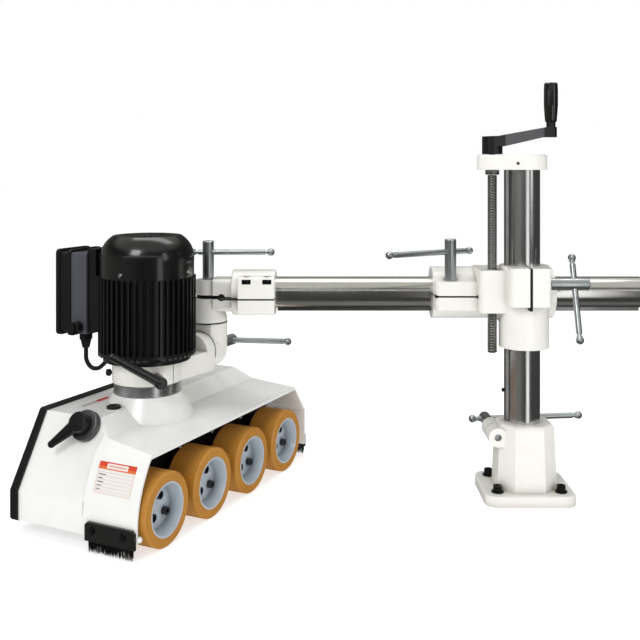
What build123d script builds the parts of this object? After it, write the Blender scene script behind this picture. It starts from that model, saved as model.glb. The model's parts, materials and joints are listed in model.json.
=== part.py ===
"""A four-wheel power feeder for woodworking machines, on a column stand with a sliding overarm.

Millimetres, +Z up. The origin is the middle of the stand's foot. +X runs along the overarm, away
from the feeding head, and +Y is away from the operator.
"""
from build123d import *
import os
from math import cos, hypot, pi, radians, sin, sqrt

os.makedirs("parts", exist_ok=True)

# ---- the two tubes ----
column_radius = 30.0
overarm_radius = 30.0

# ---- stand ----
post_across_flats = 2 * column_radius + 50
foot_bolt_pitch_x = post_across_flats + 6
foot_bolt_pitch_y = 2 * column_radius + 30
foot_length = foot_bolt_pitch_x + 49
foot_width = foot_bolt_pitch_y + 54
foot_thickness = 19.0
foot_corner = 22.0
foot_bolt_radius = 5.0
foot_hole_clearance = 0.5
post_corner = 27.0
post_height = 118.0
post_taper = 2.4

# ---- column ----
column_wall = 4.0
column_length = 587.0
column_socket_floor = 20.0
key_width = 12.0
key_height = 7.0
key_inset = 1.0
cap_height = 28.0
cap_radius = column_radius + 13
cap_screw_end_radius = 28.0

# ---- lead screw and crank ----
screw_offset = column_radius + 29
screw_radius = 9.0
journal_radius = 6.0
screw_below_nut = 76.6
collar_radius = 13.0
collar_height = 9.0
crank_reach = 110.0
crank_hub_radius = 19.0
crank_rise = 17.0
grip_radius = 13.0
grip_length = 74.0

# ---- overarm and its sliding bracket ----
overarm_wall = 5.0
overarm_length = 784.0
overarm_offset = column_radius + overarm_radius + 15
overarm_start_from_pivot = 62.0
barrel_radius = column_radius + 16
barrel_length = 152.0
barrel_top_above_arm = 61.0
arm_barrel_radius = overarm_radius + 20
arm_barrel_left = 165.0
arm_barrel_right = 69.0
lug_reach = column_radius + 34
lug_half_width = 37.0
split_gap = 5.0
bracket_lug_back = 133.0

# ---- clamp studs and their sliding bars ----
stud_radius = 6.0
hub_radius = 11.0
bar_radius = 5.4
bar_ball_radius = 7.2

# ---- pivot, knuckle and ring arm ----
pivot_reach = 601.0
knuckle_radius = 37.0
pivot_ear_radius = knuckle_radius - 13
knuckle_flat = 28.0
knuckle_rise = 51.0
arm_above_knuckle = overarm_radius + 27
end_clamp_radius = overarm_radius + 14
end_clamp_length = 75.0
neck_radius = 44.0
ring_radius = neck_radius + 19
ring_height = 38.4
tilt_above_ring_floor = 34.0

# ---- feeding head ----
head_angle = 26.0
pivot_in_head = (-102.8, 359.3)
motor_in_head = (-136.5, 209.4)
wheel_radius = 60.0
wheel_width = 60.0
wheel_gap = 15.0
wheel_count = 4
wheel_pitch = 2 * wheel_radius + wheel_gap
first_wheel = wheel_radius + 8
cover_width = 244.0
cover_length = 2 * first_wheel + (wheel_count - 1) * wheel_pitch + 34
cover_floor = 24.0
cover_wall = 3.5
skirt_edge = 2 * wheel_radius + 28
cover_top = skirt_edge + 42
side_plate_thickness = 16.0
plate_proud = 4.0
flange_radius = neck_radius + 16
flange_height = 20.0
flange_boss_height = 15.0
wheel_bore_radius = wheel_radius - 16
wheel_face = 10.0
dish_depth = 22.0
axle_radius = 10.0
arm_thickness = 20.0
arm_pivot_back = 52.0
arm_pivot_rise = 6.0

# ---- motor and switch ----
motor_radius = 80.0
fin_depth = 8.0
fin_count = 48
fin_thickness = 3.2
motor_height = 150.0
cowl_radius = motor_radius + 4.5
cowl_height = 76.0
cowl_wall = 2.0
rotor_radius = 40.0
shaft_radius = 8.0
box_depth = 84.0
box_height = 150.0
box_reach = (motor_radius + 26, motor_radius + 62, motor_radius + 97)
cable_radius = 4.0

# ---- fits ----
running = 0.05
loose = 0.3
tiny = 0.01

# ---- heights that follow from the head upwards ----
flange_floor = cover_top + flange_boss_height
ring_floor = flange_floor + flange_height + loose
ring_top = ring_floor + ring_height
motor_floor = ring_top + loose
motor_top = motor_floor + motor_height
tilt_z = ring_floor + tilt_above_ring_floor
knuckle_top = tilt_z + knuckle_rise
overarm_z = knuckle_top + arm_above_knuckle
barrel_top = overarm_z + barrel_top_above_arm
barrel_bottom = barrel_top - barrel_length
post_top = foot_thickness + post_height
column_top = column_socket_floor + column_length
cap_top = column_top + cap_height

# ---- the pivot and the head's own frame: x across the row of wheels, y along it ----
pivot_xy = (-pivot_reach, overarm_offset)
row_way = (sin(radians(head_angle)), cos(radians(head_angle)))
face_way = (cos(radians(head_angle)), -sin(radians(head_angle)))
head_x = pivot_xy[0] - pivot_in_head[0] * face_way[0] - pivot_in_head[1] * row_way[0]
head_y = pivot_xy[1] - pivot_in_head[0] * face_way[1] - pivot_in_head[1] * row_way[1]
HEAD = Plane(origin=(head_x, head_y, 0), x_dir=(*face_way, 0), z_dir=(0, 0, 1))
motor_n, motor_t = motor_in_head
pivot_n, pivot_t = pivot_in_head


# ---------------------------------------------------------------- helpers
def block(x, y, z):
    """A box between the two values given along each axis."""
    size = [high - low for low, high in (x, y, z)]
    middle = [(high + low) / 2 for low, high in (x, y, z)]
    return Pos(*middle) * Box(*size)


def rod(start, end, radius):
    """A round bar between two points."""
    start, end = Vector(*start), Vector(*end)
    span = end - start
    bar = Cylinder(radius, span.length, align=(Align.CENTER, Align.CENTER, Align.MIN))
    return Plane(origin=start, z_dir=span).location * bar


def upright(x, y, low, high, radius):
    """A vertical round bar."""
    return rod((x, y, low), (x, y, high), radius)


def slab(outline, plane, low, high):
    """A flat outline on a plane, made solid between two distances along the plane's normal."""
    return extrude(plane.offset(low) * outline, high - low)


def polygon(*points):
    """A closed face through points."""
    return make_face(Polyline(*points, close=True))


def hull_of_circles(*circles):
    """The face that a belt round several circles (x, y, radius) encloses."""
    edges = [(Pos(x, y) * Circle(r)).edge() for x, y, r in circles]
    return make_hull(edges)


def turned(profile, x=0.0, y=0.0):
    """A solid turned about the vertical through x, y from a half profile of (radius, height)."""
    face = Plane.XZ * polygon(*profile)
    return Pos(x, y, 0) * revolve(face, Axis.Z)


def in_head(part):
    """Moves a solid from the head's own frame to the whole machine's."""
    return HEAD.location * part


def along(point, way, distance):
    """The point at a distance from another along a direction."""
    return tuple(p + w * distance for p, w in zip(point, way))


def cap_head_screw(seat, way, shank, radius):
    """A socket head cap screw: the seat is the underside of its head, way points out of the head."""
    head_radius = 1.6 * radius
    head_height = 2 * radius
    socket = 0.8 * radius
    body = rod(along(seat, way, -shank), seat, radius) + rod(seat, along(seat, way, head_height), head_radius)
    face = Plane(origin=along(seat, way, head_height), z_dir=way)
    hexagon = face.location * extrude(RegularPolygon(socket, 6, major_radius=False), -radius)
    return body - hexagon


def clamp_stud(seat, way, thread, hub, bar_at, bar_way):
    """A clamp stud: thread below the seat, thick hub above it with a cross hole for its bar."""
    body = rod(along(seat, way, -thread), along(seat, way, tiny), stud_radius)
    top = along(seat, way, hub)
    body += chamfer(rod(seat, top, hub_radius).edges().sort_by_distance(Vector(*top))[0], 1.5)
    middle = along(seat, way, bar_at)
    return body - rod(along(middle, bar_way, -40), along(middle, bar_way, 40), bar_radius + running)


def sliding_bar(middle, way, low, high):
    """The bar through a clamp stud, with a ball and a neck at each end."""
    neck = 5.0
    bar = rod(along(middle, way, low), along(middle, way, high), bar_radius)
    for end, inward in ((low, 1), (high, -1)):
        tip = along(middle, way, end)
        groove_low = along(tip, way, inward * bar_ball_radius)
        groove_high = along(tip, way, inward * (bar_ball_radius + neck))
        ring = rod(groove_low, groove_high, 2 * bar_radius) - rod(groove_low, groove_high, 0.72 * bar_radius)
        ball = Pos(*along(tip, way, -inward * tiny)) * Sphere(bar_ball_radius)
        bar = bar - ring + ball
    return bar


# ---------------------------------------------------------------- stand
clamp_x = -(column_radius + 25.0)
clamp_z = post_top - 22.0
ear_half = post_across_flats / 2 - 18.0
foot_bolt_at = [
    (sx * foot_bolt_pitch_x / 2, sy * foot_bolt_pitch_y / 2) for sx in (-1, 1) for sy in (-1, 1)
]
washer_height = 2.5


def base_casting():
    foot = extrude(RectangleRounded(foot_length, foot_width, foot_corner), foot_thickness)
    foot = fillet(foot.faces().sort_by(Axis.Z)[-1].edges(), 3)
    section = chamfer(Rectangle(post_across_flats, post_across_flats).vertices(), post_corner)
    post = extrude(Pos(0, 0, foot_thickness - 1) * section, post_height + 1, taper=post_taper)
    post = fillet(post.faces().sort_by(Axis.Z)[-1].edges(), 8)
    ear = rod((clamp_x, -ear_half, clamp_z), (clamp_x, ear_half, clamp_z), 17.5)
    web = block((clamp_x, 0), (-ear_half, ear_half), (clamp_z - 17.5, clamp_z + 12))
    casting = foot + post + ear + web
    casting -= upright(0, 0, column_socket_floor, post_top + 20, column_radius + running)
    casting -= block((clamp_x - 30, 0), (-1.5, 1.5), (clamp_z - 40, post_top + 10))
    casting -= rod((clamp_x, -60, clamp_z), (clamp_x, 60, clamp_z), stud_radius + foot_hole_clearance)
    for x, y in foot_bolt_at:
        casting -= upright(x, y, -1, foot_thickness + 1, foot_bolt_radius + foot_hole_clearance)
    return casting


def base_bolts():
    bolts = []
    for x, y in foot_bolt_at:
        seat = foot_thickness + washer_height
        screw = cap_head_screw((x, y, seat), (0, 0, 1), seat - 1, foot_bolt_radius)
        washer = upright(x, y, foot_thickness, seat, 2.2 * foot_bolt_radius)
        bolts.append(screw + washer)
    return Compound(children=bolts)


base_stud_seat = ear_half + 0.2
base_bar_at = 54.8
base_bar_middle = (clamp_x, base_stud_seat + base_bar_at, clamp_z)
base_bar_way = (cos(radians(2)), 0.0, sin(radians(2)))


def base_clamp_stud():
    thread = 2 * ear_half - 8
    return clamp_stud((clamp_x, base_stud_seat, clamp_z), (0, 1, 0), thread, 66, base_bar_at, base_bar_way)


def base_clamp_bar():
    return sliding_bar(base_bar_middle, base_bar_way, -26, 184)


# ---------------------------------------------------------------- column
def column_tube():
    tube = upright(0, 0, column_socket_floor, column_top, column_radius)
    tube -= upright(0, 0, column_socket_floor - 1, column_top + 1, column_radius - column_wall)
    flat = -column_radius + key_inset
    return tube - block((flat - 20, flat), (-key_width / 2, key_width / 2), (post_top + 1, column_top + 1))


def column_key():
    inner = -column_radius + key_inset
    key = block((inner - key_height, inner), (-key_width / 2, key_width / 2), (post_top + 1, column_top))
    return chamfer(key.faces().sort_by(Axis.X)[0].edges().filter_by(Axis.Z), 1)


stop_screw_z = barrel_bottom - 82.0


def key_stop_screw():
    face = -column_radius + key_inset - key_height
    return rod((face, 0, stop_screw_z), (face - 5, 0, stop_screw_z), 3.5)


def column_cap():
    outline = hull_of_circles((0, 0, cap_radius), (-screw_offset, 0, cap_screw_end_radius))
    cap = extrude(Pos(0, 0, column_top) * outline, cap_height)
    cap = fillet(cap.faces().sort_by(Axis.Z)[-1].edges(), 5)
    cap += upright(0, 0, column_top - 14, column_top + 1, column_radius - column_wall - running)
    cap -= upright(-screw_offset, 0, column_top - 1, cap_top + 1, journal_radius + running)
    hole_z = column_top + cap_height * 0.42
    return cap - rod((-19, -cap_radius - 5, hole_z), (-19, -cap_radius + 14, hole_z), 3)


# ---------------------------------------------------------------- lead screw, crank and grip
crank_floor = cap_top + 1.0
crank_hub_height = 34.0
crank_end = (-screw_offset + crank_reach, 0.0)
crank_end_top = crank_floor + crank_hub_height + crank_rise
crank_end_height = 19.0
grip_floor = crank_end_top + 9.0


def lead_screw():
    thread_top = column_top - loose
    body = upright(-screw_offset, 0, nut_floor - screw_below_nut, thread_top, screw_radius)
    body += upright(-screw_offset, 0, thread_top - collar_height, thread_top, collar_radius)
    body += upright(-screw_offset, 0, thread_top - 1, crank_floor + 22, journal_radius)
    low_end = body.faces().sort_by(Axis.Z)[0].edges()
    return chamfer(low_end, 1.5)


def crank_arm():
    hub_top = crank_floor + crank_hub_height
    plan = hull_of_circles((-screw_offset, 0, crank_hub_radius), (*crank_end, 11))
    arm = extrude(Pos(0, 0, crank_floor) * plan, crank_end_top - crank_floor)
    side = polygon(
        (-screw_offset - 30, hub_top - 1),
        (-screw_offset + 8, hub_top),
        (crank_end[0] - 8, crank_end_top),
        (crank_end[0] + 20, crank_end_top),
        (crank_end[0] + 20, crank_end_top - crank_end_height),
        (crank_end[0] - 14, crank_end_top - crank_end_height),
        (-screw_offset + 22, crank_floor + 15),
        (-screw_offset - 30, crank_floor + 15),
    )
    arm &= slab(side, Plane.XZ, -40, 40)
    arm += upright(-screw_offset, 0, crank_floor, crank_floor + 16, crank_hub_radius)
    arm -= upright(-screw_offset, 0, crank_floor - 1, crank_floor + 22, journal_radius + running)
    arm += upright(*crank_end, crank_end_top - 1, grip_floor + grip_length - 10, 4)
    return arm + upright(*crank_end, crank_end_top - 1, grip_floor - loose, 8.5)


def crank_grip():
    profile = [
        (4 + running, grip_floor),
        (grip_radius - 3.5, grip_floor),
        (grip_radius - 2, grip_floor + 3),
        (grip_radius, grip_floor + 0.42 * grip_length),
        (grip_radius, grip_floor + 0.8 * grip_length),
        (grip_radius - 0.6, grip_floor + grip_length - 2),
        (grip_radius - 2.4, grip_floor + grip_length),
        (0, grip_floor + grip_length),
        (0, grip_floor + grip_length - 9),
        (4 + running, grip_floor + grip_length - 9),
    ]
    return turned(profile, *crank_end)


# ---------------------------------------------------------------- bracket
column_stud_z = overarm_z + 32.0
column_stud_y = -(column_radius + stud_radius + 14.0)
arm_stud_x = -bracket_lug_back
arm_stud_y = overarm_offset - overarm_radius - stud_radius - 9.0
arm_lug_top = overarm_z + 28.0
arm_split_end = -82.0
nut_radius = 14.0
nut_height = 30.0
nut_floor = overarm_z - 26.0


def cross_bracket():
    barrel = upright(0, 0, barrel_bottom, barrel_top, barrel_radius)
    cross = rod((-arm_barrel_left, overarm_offset, overarm_z), (arm_barrel_right, overarm_offset, overarm_z),
                arm_barrel_radius)
    bridge = block((-barrel_radius, barrel_radius), (0, overarm_offset), (overarm_z - 45, overarm_z + 49))
    lugs = block((-lug_half_width, lug_half_width), (-lug_reach, 0), (overarm_z - 9, barrel_top))
    lugs = fillet(lugs.edges().filter_by(Axis.Z), 7)
    screw_boss = block((-screw_offset - 26, 0), (-25, overarm_offset), (nut_floor, overarm_z + 53))
    screw_boss = fillet(screw_boss.edges().filter_by(Axis.Z), 8)
    arm_lug = block((-arm_barrel_left + 2, -40), (arm_stud_y - 22, overarm_offset), (nut_floor, arm_lug_top))
    arm_lug = fillet(arm_lug.edges().filter_by(Axis.Z), 8)
    casting = barrel + cross + bridge + lugs + screw_boss + arm_lug
    casting -= upright(0, 0, barrel_bottom - 1, barrel_top + 1, column_radius + running)
    keyway = column_radius - key_inset + key_height + loose
    half_key = key_width / 2 + loose
    casting -= block((-keyway, -20), (-half_key, half_key), (barrel_bottom - 1, barrel_top + 1))
    casting -= rod((-arm_barrel_left - 1, overarm_offset, overarm_z),
                   (arm_barrel_right + 1, overarm_offset, overarm_z), overarm_radius + running)
    casting -= block((-arm_barrel_left - 1, arm_barrel_right + 1),
                     (overarm_offset - half_key, overarm_offset + half_key),
                     (overarm_z - keyway, overarm_z - 20))
    casting -= block((-split_gap / 2, split_gap / 2), (-lug_reach - 1, -20), (overarm_z - 17, barrel_top + 1))
    casting -= block((-arm_barrel_left - 1, arm_split_end), (arm_stud_y - 30, overarm_offset),
                     (overarm_z - 1.6, overarm_z + 1.6))
    casting -= rod((arm_split_end, arm_stud_y - 30, overarm_z), (arm_split_end, overarm_offset, overarm_z), 4.5)
    clear = stud_radius + foot_hole_clearance
    casting -= rod((-lug_half_width + 6, column_stud_y, column_stud_z),
                   (lug_half_width + 10, column_stud_y, column_stud_z), clear)
    casting -= upright(arm_stud_x, arm_stud_y, nut_floor + 6, arm_lug_top + 30, clear)
    casting -= upright(arm_stud_x, arm_stud_y, arm_lug_top, arm_lug_top + 60, hub_radius + 2.5)
    casting -= upright(-screw_offset, 0, nut_floor - 1, barrel_top + 1, screw_radius + 1)
    return casting - upright(-screw_offset, 0, nut_floor - 1, nut_floor + nut_height, nut_radius)


def lead_nut():
    nut = upright(-screw_offset, 0, nut_floor, nut_floor + nut_height, nut_radius)
    return nut - upright(-screw_offset, 0, nut_floor - 1, nut_floor + nut_height + 1, screw_radius + running)


tip_back = radians(20)
column_bar_way = (0.0, sin(tip_back), cos(tip_back))
column_bar_middle = (81.0, column_stud_y, column_stud_z)
arm_bar_way = (cos(radians(30)), sin(radians(30)), 0.0)
arm_bar_middle = (arm_stud_x, arm_stud_y, arm_lug_top + 55.0)


def column_clamp_stud():
    seat = (lug_half_width + 0.2, column_stud_y, column_stud_z)
    return clamp_stud(seat, (1, 0, 0), 65, 70, 81.0 - seat[0], column_bar_way)


def overarm_clamp_stud():
    seat = (arm_stud_x, arm_stud_y, arm_lug_top + 0.2)
    return clamp_stud(seat, (0, 0, 1), 44, 79, 54.8, arm_bar_way)


# ---------------------------------------------------------------- overarm
overarm_left = pivot_xy[0] + overarm_start_from_pivot
overarm_right = overarm_left + overarm_length
end_clamp_right = overarm_left - 4 + end_clamp_length
key_drop = overarm_z - overarm_radius + key_inset


def overarm_tube():
    left, right = (overarm_left, overarm_offset, overarm_z), (overarm_right, overarm_offset, overarm_z)
    tube = rod(left, right, overarm_radius)
    tube = chamfer(tube.edges().filter_by(GeomType.CIRCLE), 2)
    tube -= rod(along(left, (1, 0, 0), -1), along(right, (1, 0, 0), 1), overarm_radius - overarm_wall)
    half = key_width / 2
    return tube - block((end_clamp_right + 2, overarm_right + 1),
                        (overarm_offset - half, overarm_offset + half), (key_drop - 20, key_drop))


def overarm_key():
    half = key_width / 2
    key = block((end_clamp_right + 3, overarm_right - 5),
                (overarm_offset - half, overarm_offset + half), (key_drop - key_height, key_drop))
    return chamfer(key.faces().sort_by(Axis.Z)[0].edges().filter_by(Axis.X), 1)


end_split_z = overarm_z - 7.0
ear_gap = 7.0
ear_top = overarm_z + 25.0
relief_x = pivot_xy[0] + 29.0
end_screw_y = overarm_offset - overarm_radius - 17
end_screw_x = (end_clamp_right - 54.0, end_clamp_right - 15.0)
end_screw_seat = overarm_z + 22.0


def arm_end_clamp():
    x, y = pivot_xy
    tube = rod((overarm_left - 14, y, overarm_z), (end_clamp_right, y, overarm_z), end_clamp_radius)
    tube = fillet(tube.edges().filter_by(GeomType.CIRCLE), 4)
    boss = block((end_clamp_right - 70, end_clamp_right - 1), (y - end_clamp_radius - 14, y), (overarm_z - 37, overarm_z + 36))
    boss = fillet(boss.edges().filter_by(Axis.X), 6)
    neck = block((x + 12, overarm_left), (y - 30, y + 30), (overarm_z - 35, overarm_z + 28))
    neck = fillet(neck.edges().filter_by(Axis.X), 8)
    ear = upright(x, y, end_split_z, ear_top, pivot_ear_radius)
    flare = turned([(0, knuckle_top + loose), (knuckle_radius, knuckle_top + loose),
                    (knuckle_radius, knuckle_top + 8), (pivot_ear_radius + 2, end_split_z - 6),
                    (pivot_ear_radius + 1, end_split_z + 1), (0, end_split_z + 1)], x, y)
    casting = tube + boss + neck + ear + flare
    casting -= rod((overarm_left - 1, y, overarm_z), (end_clamp_right + 1, y, overarm_z),
                   overarm_radius + running)
    casting -= block((x - 40, relief_x), (y - 60, y + 60), (end_split_z - ear_gap / 2, end_split_z + ear_gap / 2))
    casting -= rod((relief_x, y - 60, end_split_z), (relief_x, y + 60, end_split_z), 7)
    casting -= block((relief_x, end_clamp_right + 1), (y - 70, y), (end_split_z - 1.5, end_split_z + 1.5))
    casting -= upright(x, y, knuckle_top - 1, ear_top + 1, stud_radius + foot_hole_clearance)
    for screw_x in end_screw_x:
        casting -= upright(screw_x, end_screw_y, end_screw_seat, overarm_z + 60, 8.6)
        casting -= upright(screw_x, end_screw_y, overarm_z - 31, overarm_z + 60, 5.4)
        casting -= block((screw_x - 8.6, screw_x + 8.6), (end_screw_y - 30, end_screw_y),
                         (end_screw_seat, end_screw_seat + 9))
    return casting


def arm_end_screws():
    screws = [cap_head_screw((x, end_screw_y, end_screw_seat), (0, 0, 1), 50, 5) for x in end_screw_x]
    return Compound(children=screws)


pivot_bar_middle = (*pivot_xy, ear_top + 53.0)


def pivot_clamp_stud():
    thread = ear_top - knuckle_top + 14
    return clamp_stud((*pivot_xy, ear_top + 0.2), (0, 0, 1), thread, 75, 52.8, (1, 0, 0))


# ---------------------------------------------------------------- knuckle, worked out in the head's frame
def knuckle_at(across, along_row, height):
    """A point near the pivot: across and along the row from the pivot, and above the tilt axis."""
    return (pivot_n + across, pivot_t + along_row, tilt_z + height)


def swivel_knuckle():
    body = upright(pivot_n, pivot_t, tilt_z - 60, knuckle_top, knuckle_radius)
    cheek = rod(knuckle_at(0, -knuckle_flat, 0), knuckle_at(0, 10, 0), knuckle_radius)
    cheek += rod(knuckle_at(0, 0, 0), knuckle_at(0, knuckle_radius + 4, 0), 18)
    keep = cheek + block((pivot_n - 60, pivot_n + 60), (pivot_t - 60, pivot_t + 60), (tilt_z, knuckle_top))
    body = (body + cheek) & keep
    body -= block((pivot_n - 60, pivot_n + 60), (pivot_t - 60, pivot_t - knuckle_flat),
                  (tilt_z - 60, knuckle_top - 14 + 20))
    body -= upright(pivot_n, pivot_t, knuckle_top - 16, knuckle_top + 1, stud_radius + foot_hole_clearance)
    body -= rod(knuckle_at(0, -60, 0), knuckle_at(0, 60, 0), stud_radius + foot_hole_clearance)
    return in_head(body)


tilt_bar_along = 80.0
tilt_bar_way = (cos(radians(3.5)), 0.0, sin(radians(3.5)))


def tilt_clamp_stud():
    seat = knuckle_at(0, knuckle_radius + 4.2, 0)
    thread = knuckle_radius + knuckle_flat + 16
    bar_at = tilt_bar_along - knuckle_radius - 4.2
    return in_head(clamp_stud(seat, (0, 1, 0), thread, bar_at + 13, bar_at, tilt_bar_way))


def tilt_clamp_bar():
    return in_head(sliding_bar(knuckle_at(0, tilt_bar_along, 0), tilt_bar_way, -22, 134))


# ---------------------------------------------------------------- ring arm and its clamp lever
lever_angle = radians(-66 + head_angle)
lever_way = (cos(lever_angle), sin(lever_angle), 0.0)
lever_z = ring_floor + 14.0
lever_sweep = radians(32)
lever_length = 98.0


def ring_arm():
    ring = upright(motor_n, motor_t, ring_floor, ring_top, ring_radius)
    disc_radius = knuckle_radius - 2
    disc_near = -knuckle_flat - 18
    disc = rod(knuckle_at(0, disc_near, 0), knuckle_at(0, -knuckle_flat - loose, 0), disc_radius)
    plan = polygon(
        (motor_n - 36, motor_t + 30),
        (pivot_n - disc_radius, pivot_t + disc_near - 4),
        (pivot_n - disc_radius, pivot_t - knuckle_flat - 2),
        (pivot_n + disc_radius, pivot_t - knuckle_flat - 2),
        (pivot_n + disc_radius, pivot_t + disc_near - 4),
        (motor_n + 58, motor_t + 4),
    )
    web = slab(plan, Plane.XY, ring_floor, ring_top)
    shoulder = rod(knuckle_at(0, disc_near - 10, 0), knuckle_at(0, disc_near + 1, 0), disc_radius)
    arm = ring + web + shoulder + disc
    reach = motor_radius + fin_depth + 4
    arm -= upright(motor_n, motor_t, ring_top, ring_top + 200, reach)
    arm -= upright(motor_n, motor_t, ring_floor - 1, ring_top + 1, neck_radius + running)
    boss = rod((motor_n + lever_way[0] * 50, motor_t + lever_way[1] * 50, lever_z),
               (motor_n + lever_way[0] * 66, motor_t + lever_way[1] * 66, lever_z), 12)
    arm += boss & upright(motor_n, motor_t, ring_floor, ring_top, 70)
    slit = block((neck_radius - 2, ring_radius + 8), (-1, 1), (ring_floor - 1, ring_top + 1))
    arm -= Pos(motor_n, motor_t, 0) * Rot(0, 0, -7) * slit
    arm -= rod((motor_n + lever_way[0] * 30, motor_t + lever_way[1] * 30, lever_z),
               (motor_n + lever_way[0] * 90, motor_t + lever_way[1] * 90, lever_z), 5 + running)
    return in_head(arm - rod(knuckle_at(0, -120, 0), knuckle_at(0, -20, 0), stud_radius + foot_hole_clearance)
                   + rod(knuckle_at(0, disc_near - 9, 0), knuckle_at(0, disc_near, 0), 10))


def ring_lever():
    """A clamping lever: its screw presses a shoe on the neck, its arm rises to the left."""
    centre = (motor_n, motor_t, lever_z)
    side = (lever_way[1], -lever_way[0], 0.0)
    arm_way = (side[0] * cos(lever_sweep), side[1] * cos(lever_sweep), sin(lever_sweep))
    hub_low = along(centre, lever_way, 66.5)
    hub_high = along(centre, lever_way, 106)
    screw = rod(along(centre, lever_way, neck_radius + 0.3), along(centre, lever_way, 67), 5)
    hub = rod(hub_low, hub_high, 11)
    hub = fillet(hub.edges().sort_by_distance(Vector(*hub_high))[0], 4)
    start = along(centre, lever_way, 98)
    tip = along(start, arm_way, lever_length)
    arm = Plane(origin=start, z_dir=arm_way).location * Cone(
        8.5, 6.5, lever_length, align=(Align.CENTER, Align.CENTER, Align.MIN))
    return in_head(screw + hub + arm + Pos(*tip) * Sphere(6.6))


# ---------------------------------------------------------------- head: cover, side plate, gear case
seam_n = -108.0
front_crease = cover_top - 118
front_crest = 68.0
roof_front = (41.0, cover_top - 34)
back_crest = cover_length - 75
back_crease = cover_top - 93


def left_profile(floor):
    """The side view of the tall part of the cover, as (along the row, height)."""
    return polygon((0, floor), (0, front_crease), (front_crest, cover_top), (back_crest, cover_top),
                   (cover_length, back_crease), (cover_length, floor))


def right_profile(floor):
    """The side view of the part over the wheels, whose front is one round sweep."""
    low, high = (0, cover_top - 140), (roof_front[0] - 9, roof_front[1] - 10)
    return make_face([
        Line((0, floor), low),
        ThreePointArc(low, (9, cover_top - 91), high),
        Polyline(high, roof_front, (front_crest + 6, cover_top), (back_crest, cover_top),
                 (cover_length, back_crease), (cover_length, floor), (0, floor)),
    ])


def cover_form(inset, floor):
    """The cover's outer form, or with an inset the hollow inside it."""
    section = polygon((-cover_width, floor), (-cover_width, cover_top), (-130, cover_top), (-97, cover_top - 24),
                      (0, skirt_edge + 6), (0, floor))
    left, right = left_profile(floor), right_profile(floor)
    if inset:
        section, left, right = (offset(f, -inset, kind=Kind.INTERSECTION) for f in (section, left, right))
    form = slab(left, Plane.YZ, -cover_width, seam_n) + slab(right, Plane.YZ, seam_n, 0)
    return form & slab(section, Plane.XZ, -cover_length - 10, 10)


def head_cover():
    lip = flange_radius + 2
    spread = 30 + flange_boss_height
    boss = turned([(0, flange_floor - spread), (lip + 0.55 * spread, flange_floor - spread),
                   (lip, flange_floor), (0, flange_floor)], motor_n, motor_t)
    cover = cover_form(0, cover_floor) + boss
    cover -= cover_form(cover_wall, cover_floor - 60)
    inner_side = offset(right_profile(cover_floor - 60), -cover_wall, kind=Kind.INTERSECTION)
    window = slab(inner_side, Plane.YZ, -cover_wall - 2, 5)
    cover -= window & block((-20, 20), (0, cover_length), (-50, skirt_edge))
    cover -= upright(motor_n, motor_t, cover_top - 60, flange_floor + 1, neck_radius + 8)
    nub = Pos(1, 5.2, cover_floor + 9) * Sphere(5)
    return in_head(cover + nub)


def side_plate():
    p = plate_proud
    outline = polygon((-p, cover_floor - 2), (-p, front_crease + 1), (front_crest - 1, cover_top + p),
                      (back_crest + 1, cover_top + p), (cover_length + p, back_crease + 2),
                      (cover_length + p, cover_floor - 2))
    outline = fillet(outline.vertices(), 7)
    plate = slab(outline, Plane.YZ, -cover_width - side_plate_thickness, -cover_width)
    return in_head(fillet(plate.faces().sort_by(Axis.X)[0].edges(), 2.5))


arm_inner = wheel_face - wheel_width - 24.0
case_face = arm_inner - 1.0
axle_z = wheel_radius
wheel_t = [first_wheel + k * wheel_pitch for k in range(wheel_count)]


def gear_case():
    front, back = 30.0, wheel_t[-1] + arm_pivot_back + 16
    outline = polygon((front, 56), (front, 112), (front + 28, cover_top - 35), (back - 36, cover_top - 35),
                      (back, 112), (back, 56))
    case = slab(outline, Plane.YZ, case_face - 45, case_face)
    case = fillet(case.edges().filter_by(Axis.X), 8)
    box = block((motor_n - 52, case_face - 20), (motor_t - 56, motor_t + 56), (56, cover_top - 30))
    case += box + upright(motor_n, motor_t, cover_top - 40, flange_floor, neck_radius + 6)
    case -= upright(motor_n, motor_t, cover_top - 60, flange_floor + 1, shaft_radius + 1)
    for t in wheel_t:
        pivot = (t + arm_pivot_back, axle_z + arm_pivot_rise)
        case += rod((case_face - 1, *pivot), (arm_inner + arm_thickness - 2, *pivot), axle_radius)
    return in_head(case)


def neck_flange():
    neck = upright(motor_n, motor_t, flange_floor, flange_floor + flange_height, flange_radius)
    neck = chamfer(neck.faces().sort_by(Axis.Z)[-1].edges(), 2)
    neck += upright(motor_n, motor_t, flange_floor, motor_floor, neck_radius)
    return in_head(neck - upright(motor_n, motor_t, flange_floor - 1, motor_floor + 1, shaft_radius + 1))


# ---------------------------------------------------------------- motor
def motor_point(out, along_row, height):
    """A point beside the motor: out towards the switch box, along the row, and its height."""
    return (motor_n - out, motor_t + along_row, height)


box_floor = motor_floor + 40.0
box_top = box_floor + box_height


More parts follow.
